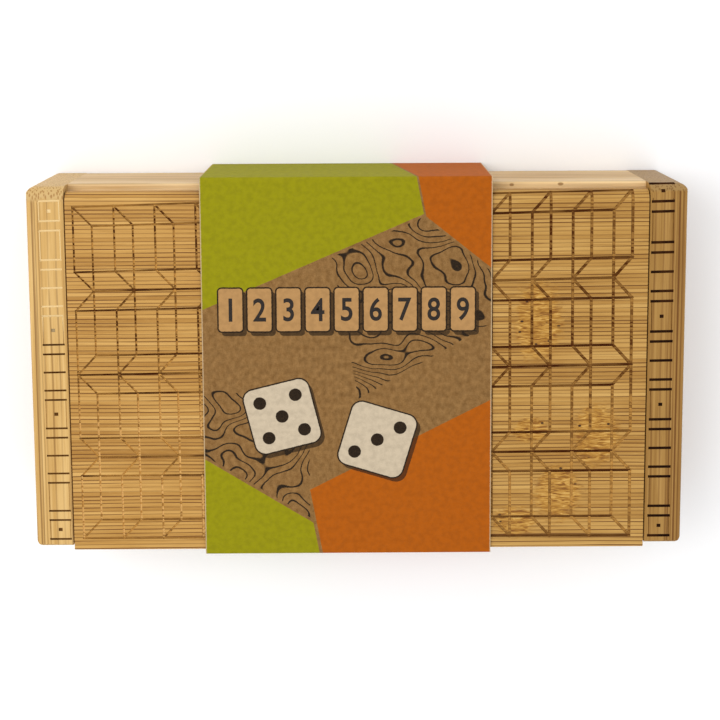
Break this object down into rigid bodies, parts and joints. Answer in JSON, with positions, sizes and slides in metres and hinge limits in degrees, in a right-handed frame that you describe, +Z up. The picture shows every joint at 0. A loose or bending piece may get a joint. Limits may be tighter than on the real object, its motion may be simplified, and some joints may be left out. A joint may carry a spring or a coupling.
{
  "type": "shut the box game",
  "caption": "Flat bamboo dice game box with a hinged lid, a row of numbered flip tiles on a rod, a rolling tray, dice and a card sleeve round its middle.",
  "frame": {"origin": "on the table under the middle of the box, at the middle of the bounding box's bottom", "axes": "+Z up out of the lid, +Y towards the hinge side, +X along the box to the player's right"},
  "size_m": [0.24, 0.1414, 0.0436],
  "materials": {
    "bamboo_end": "satin, quarter-sawn bamboo laminate with burnt bars",
    "bamboo_board": "satin bamboo laminate",
    "bamboo_floor": "satin bamboo panel",
    "bamboo_dark": "plain bamboo dowel",
    "bamboo_lid": "satin narrow-strip bamboo laminate with burnt line engraving",
    "bamboo_tile": "satin bamboo with burnt numbers",
    "die_wood": "light wood with dark pips",
    "steel": "drawn wire",
    "kraft_card": "matt printed kraft card"
  },
  "bodies": {
    "tray": {"left_end": "bamboo_end", "right_end": "bamboo_end", "front_wall": "bamboo_board", "back_wall": "bamboo_board", "floor_panel": "bamboo_floor", "divider_rail": "bamboo_board", "tile_rest": "bamboo_board", "corner_dowels": "bamboo_dark", "hinge_pin_left": "steel", "hinge_pin_right": "steel", "tile_rod": "steel"},
    "lid": {"lid_board": "bamboo_lid"},
    "number_1": {"tile_1": "bamboo_tile"},
    "number_2": {"tile_2": "bamboo_tile"},
    "number_3": {"tile_3": "bamboo_tile"},
    "number_4": {"tile_4": "bamboo_tile"},
    "number_5": {"tile_5": "bamboo_tile"},
    "number_6": {"tile_6": "bamboo_tile"},
    "number_7": {"tile_7": "bamboo_tile"},
    "number_8": {"tile_8": "bamboo_tile"},
    "number_9": {"tile_9": "bamboo_tile"},
    "first_die": {"die_1": "die_wood"},
    "second_die": {"die_2": "die_wood"},
    "sleeve": {"sleeve_top_panel": "kraft_card", "sleeve_front_panel": "kraft_card", "sleeve_bottom_panel": "kraft_card", "sleeve_back_panel": "kraft_card", "sleeve_glue_flap": "kraft_card"}
  },
  "joints": [
    {"name": "lid_hinge", "type": "hinge", "parent": "tray", "child": "lid", "pos_m": [0, 0.0615, 0.0386], "axis": [-1, 0, 0], "range_deg": [0, 180], "deforming": ["sleeve_top_panel", "sleeve_front_panel", "sleeve_bottom_panel", "sleeve_back_panel", "sleeve_glue_flap"]},
    {"name": "flip_tile_1", "type": "hinge", "parent": "tray", "child": "number_1", "pos_m": [-0.09467, 0.02375, 0.01205], "axis": [1, 0, 0], "range_deg": [0, 135]},
    {"name": "flip_tile_2", "type": "hinge", "parent": "tray", "child": "number_2", "pos_m": [-0.071, 0.02375, 0.01205], "axis": [1, 0, 0], "range_deg": [0, 135]},
    {"name": "flip_tile_3", "type": "hinge", "parent": "tray", "child": "number_3", "pos_m": [-0.04733, 0.02375, 0.01205], "axis": [1, 0, 0], "range_deg": [0, 135]},
    {"name": "flip_tile_4", "type": "hinge", "parent": "tray", "child": "number_4", "pos_m": [-0.02367, 0.02375, 0.01205], "axis": [1, 0, 0], "range_deg": [0, 135]},
    {"name": "flip_tile_5", "type": "hinge", "parent": "tray", "child": "number_5", "pos_m": [0, 0.02375, 0.01205], "axis": [1, 0, 0], "range_deg": [0, 135]},
    {"name": "flip_tile_6", "type": "hinge", "parent": "tray", "child": "number_6", "pos_m": [0.02367, 0.02375, 0.01205], "axis": [1, 0, 0], "range_deg": [0, 135]},
    {"name": "flip_tile_7", "type": "hinge", "parent": "tray", "child": "number_7", "pos_m": [0.04733, 0.02375, 0.01205], "axis": [1, 0, 0], "range_deg": [0, 135]},
    {"name": "flip_tile_8", "type": "hinge", "parent": "tray", "child": "number_8", "pos_m": [0.071, 0.02375, 0.01205], "axis": [1, 0, 0], "range_deg": [0, 135]},
    {"name": "flip_tile_9", "type": "hinge", "parent": "tray", "child": "number_9", "pos_m": [0.09467, 0.02375, 0.01205], "axis": [1, 0, 0], "range_deg": [0, 135]},
    {"name": "die_1_slide", "type": "slide", "parent": "tray", "child": "first_die", "axis": [1, 0, 0], "range_m": [-0.03, 0]},
    {"name": "die_2_slide", "type": "slide", "parent": "tray", "child": "second_die", "axis": [1, 0, 0], "range_m": [0, 0.115]},
    {"name": "sleeve_pull_off", "type": "slide", "parent": "tray", "child": "sleeve", "axis": [-1, 0, 0], "range_m": [0, 0.181]}
  ],
  "couplings": [
    {"joint": "sleeve_pull_off", "follows": "lid_hinge", "m_per_rad": 0.057296}
  ]
}
